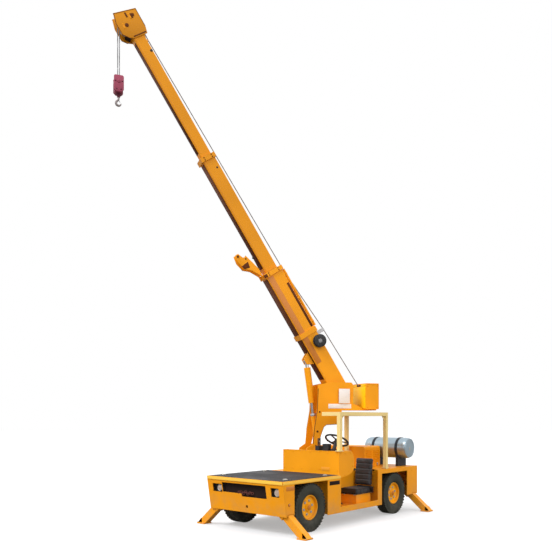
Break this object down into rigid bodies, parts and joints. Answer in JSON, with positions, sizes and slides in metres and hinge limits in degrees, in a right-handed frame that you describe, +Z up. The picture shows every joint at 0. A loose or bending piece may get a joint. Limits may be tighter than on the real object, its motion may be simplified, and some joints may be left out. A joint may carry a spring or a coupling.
{
  "type": "carry deck crane",
  "caption": "Small four-wheel carry deck crane with a flat load deck, side operator's seat, slewing three-section telescopic boom and four outriggers.",
  "frame": {"origin": "on the ground under the middle of the wheelbase and of the track", "axes": "+X forward, +Y to the machine's left, +Z up"},
  "size_m": [4.0782, 2.359, 6.4969],
  "materials": {
    "paint_orange": "semi-gloss",
    "paint_cream": "semi-gloss",
    "paint_maroon": "satin",
    "paint_dark": "satin",
    "deck_mat": "matte, rough",
    "tyre": "matte",
    "seat": "vinyl",
    "black_plastic": "matte",
    "tank": "satin grey-blue",
    "steel": "satin",
    "chrome": "polished",
    "lamp": "clear over white",
    "wire_rope": "greased strand",
    "engine": "painted casting"
  },
  "bodies": {
    "root": {"frame_rails": "paint_dark", "front_axle": "paint_dark", "rear_axle": "paint_dark", "outrigger_housings": "paint_orange", "front_panel": "paint_orange", "side_panels": "paint_orange", "lamps": "lamp", "load_deck": "paint_orange", "deck_mat": "deck_mat", "floor_pan": "paint_orange", "hydraulic_tank": "paint_orange", "rear_fenders": "paint_orange", "rear_deck": "paint_orange", "rear_panel": "paint_orange", "engine_block": "engine", "gas_tank": "tank", "tank_saddle": "paint_dark", "cowl": "paint_orange", "steering_column": "black_plastic", "seat_base": "paint_orange", "seat": "seat", "guard": "paint_cream", "slew_base": "paint_dark", "slew_ring": "paint_dark"},
    "hood": {"engine_hood": "paint_orange"},
    "steering_wheel": {"steering_wheel": "black_plastic"},
    "turret": {"turret": "paint_orange", "winch_housing": "paint_orange"},
    "boom_base": {"boom_base": "paint_orange", "cord_reel": "black_plastic", "conduit": "paint_cream", "rope_guide": "steel", "hook_bracket": "paint_orange"},
    "tie_rod": {"tie_rod": "paint_dark"},
    "boom_mid": {"boom_mid": "paint_orange"},
    "boom_tip": {"boom_tip": "paint_orange", "boom_head": "paint_orange", "head_sheaves": "steel"},
    "fall": {"hoist_ropes": "wire_rope", "hook_block": "paint_maroon"},
    "hook": {"hook": "paint_maroon"},
    "cylinder_barrel": {"cylinder_barrel": "paint_orange"},
    "cylinder_rod": {"cylinder_rod": "chrome"},
    "knuckle_left": {"knuckle_left": "paint_dark"},
    "wheel_front_left": {"tyre_front_left": "tyre", "rim_front_left": "paint_orange"},
    "wheel_rear_left": {"tyre_rear_left": "tyre", "rim_rear_left": "paint_orange"},
    "knuckle_right": {"knuckle_right": "paint_dark"},
    "wheel_front_right": {"tyre_front_right": "tyre", "rim_front_right": "paint_orange"},
    "wheel_rear_right": {"tyre_rear_right": "tyre", "rim_rear_right": "paint_orange"},
    "outrigger_front_left": {"outrigger_front_left": "paint_orange"},
    "outrigger_front_right": {"outrigger_front_right": "paint_orange"},
    "outrigger_rear_left": {"outrigger_rear_left": "paint_orange"},
    "outrigger_rear_right": {"outrigger_rear_right": "paint_orange"}
  },
  "joints": [
    {"name": "steer_left", "type": "hinge", "parent": "root", "child": "knuckle_left", "pos_m": [0.975, 0.44, 0.295], "axis": [0, 0, 1], "range_deg": [-30, 30]},
    {"name": "wheel_front_left_spin", "type": "hinge", "parent": "knuckle_left", "child": "wheel_front_left", "pos_m": [0.975, 0.54, 0.295], "axis": [0, 1, 0], "continuous": true},
    {"name": "wheel_rear_left_spin", "type": "hinge", "parent": "root", "child": "wheel_rear_left", "pos_m": [-0.975, 0.54, 0.295], "axis": [0, 1, 0], "continuous": true},
    {"name": "steer_right", "type": "hinge", "parent": "root", "child": "knuckle_right", "pos_m": [0.975, -0.44, 0.295], "axis": [0, 0, 1], "range_deg": [-30, 30]},
    {"name": "wheel_front_right_spin", "type": "hinge", "parent": "knuckle_right", "child": "wheel_front_right", "pos_m": [0.975, -0.54, 0.295], "axis": [0, 1, 0], "continuous": true},
    {"name": "wheel_rear_right_spin", "type": "hinge", "parent": "root", "child": "wheel_rear_right", "pos_m": [-0.975, -0.54, 0.295], "axis": [0, 1, 0], "continuous": true},
    {"name": "outrigger_front_left_slide", "type": "slide", "parent": "root", "child": "outrigger_front_left", "axis": [0, 0.766, -0.6428], "range_m": [-0.24, 0]},
    {"name": "outrigger_front_right_slide", "type": "slide", "parent": "root", "child": "outrigger_front_right", "axis": [0, -0.766, -0.6428], "range_m": [-0.24, 0]},
    {"name": "outrigger_rear_left_slide", "type": "slide", "parent": "root", "child": "outrigger_rear_left", "axis": [0, 0.766, -0.6428], "range_m": [-0.24, 0]},
    {"name": "outrigger_rear_right_slide", "type": "slide", "parent": "root", "child": "outrigger_rear_right", "axis": [0, -0.766, -0.6428], "range_m": [-0.24, 0]},
    {"name": "steering_wheel_turn", "type": "hinge", "parent": "root", "child": "steering_wheel", "pos_m": [0.225, 0.458, 1.085], "axis": [-0.5, 0, 0.866], "range_deg": [-360, 360]},
    {"name": "tie_rod_follow", "type": "hinge", "parent": "knuckle_left", "child": "tie_rod", "pos_m": [0.825, 0.44, 0.295], "axis": [0, 0, 1], "range_deg": [-30, 30]},
    {"name": "hood_open", "type": "hinge", "parent": "root", "child": "hood", "pos_m": [-1, -0.606, 0.6683], "axis": [1, 0, 0], "range_deg": [0, 48]},
    {"name": "slew", "type": "hinge", "parent": "root", "child": "turret", "pos_m": [0.025, 0, 0.672], "axis": [0, 0, 1], "continuous": true},
    {"name": "luff", "type": "hinge", "parent": "turret", "child": "boom_base", "pos_m": [-0.32141, 0.2, 1.75], "axis": [-0.5, -0.866, 0], "range_deg": [-58, 15]},
    {"name": "telescope_mid", "type": "slide", "parent": "boom_base", "child": "boom_mid", "axis": [0.4589, -0.265, 0.848], "range_m": [-1.5, 0]},
    {"name": "telescope_tip", "type": "slide", "parent": "boom_mid", "child": "boom_tip", "axis": [0.4589, -0.265, 0.848], "range_m": [-1.5, 0]},
    {"name": "fall_hang", "type": "hinge", "parent": "boom_tip", "child": "fall", "pos_m": [2.2763, -1.29979, 6.25973], "axis": [-0.5, -0.866, 0], "range_deg": [-15, 58]},
    {"name": "hook_swivel", "type": "hinge", "parent": "fall", "child": "hook", "pos_m": [2.35858, -1.34729, 5.4], "axis": [0, 0, 1], "continuous": true},
    {"name": "cylinder_tilt", "type": "hinge", "parent": "turret", "child": "cylinder_barrel", "pos_m": [0.025, 0, 0.9], "axis": [-0.5, -0.866, 0], "range_deg": [-19, 5]},
    {"name": "cylinder_stroke", "type": "slide", "parent": "cylinder_barrel", "child": "cylinder_rod", "axis": [0.1222, -0.0706, 0.99], "range_m": [-0.62, 0.162]}
  ],
  "couplings": [
    {"joint": "steer_right", "follows": "steer_left", "ratio": 1},
    {"joint": "steering_wheel_turn", "follows": "steer_left", "ratio": 12},
    {"joint": "tie_rod_follow", "follows": "steer_left", "ratio": -1},
    {"joint": "fall_hang", "follows": "luff", "ratio": -1},
    {"joint": "cylinder_tilt", "follows": "luff", "ratio": 0.32},
    {"joint": "cylinder_stroke", "follows": "luff", "m_per_rad": 0.607}
  ]
}
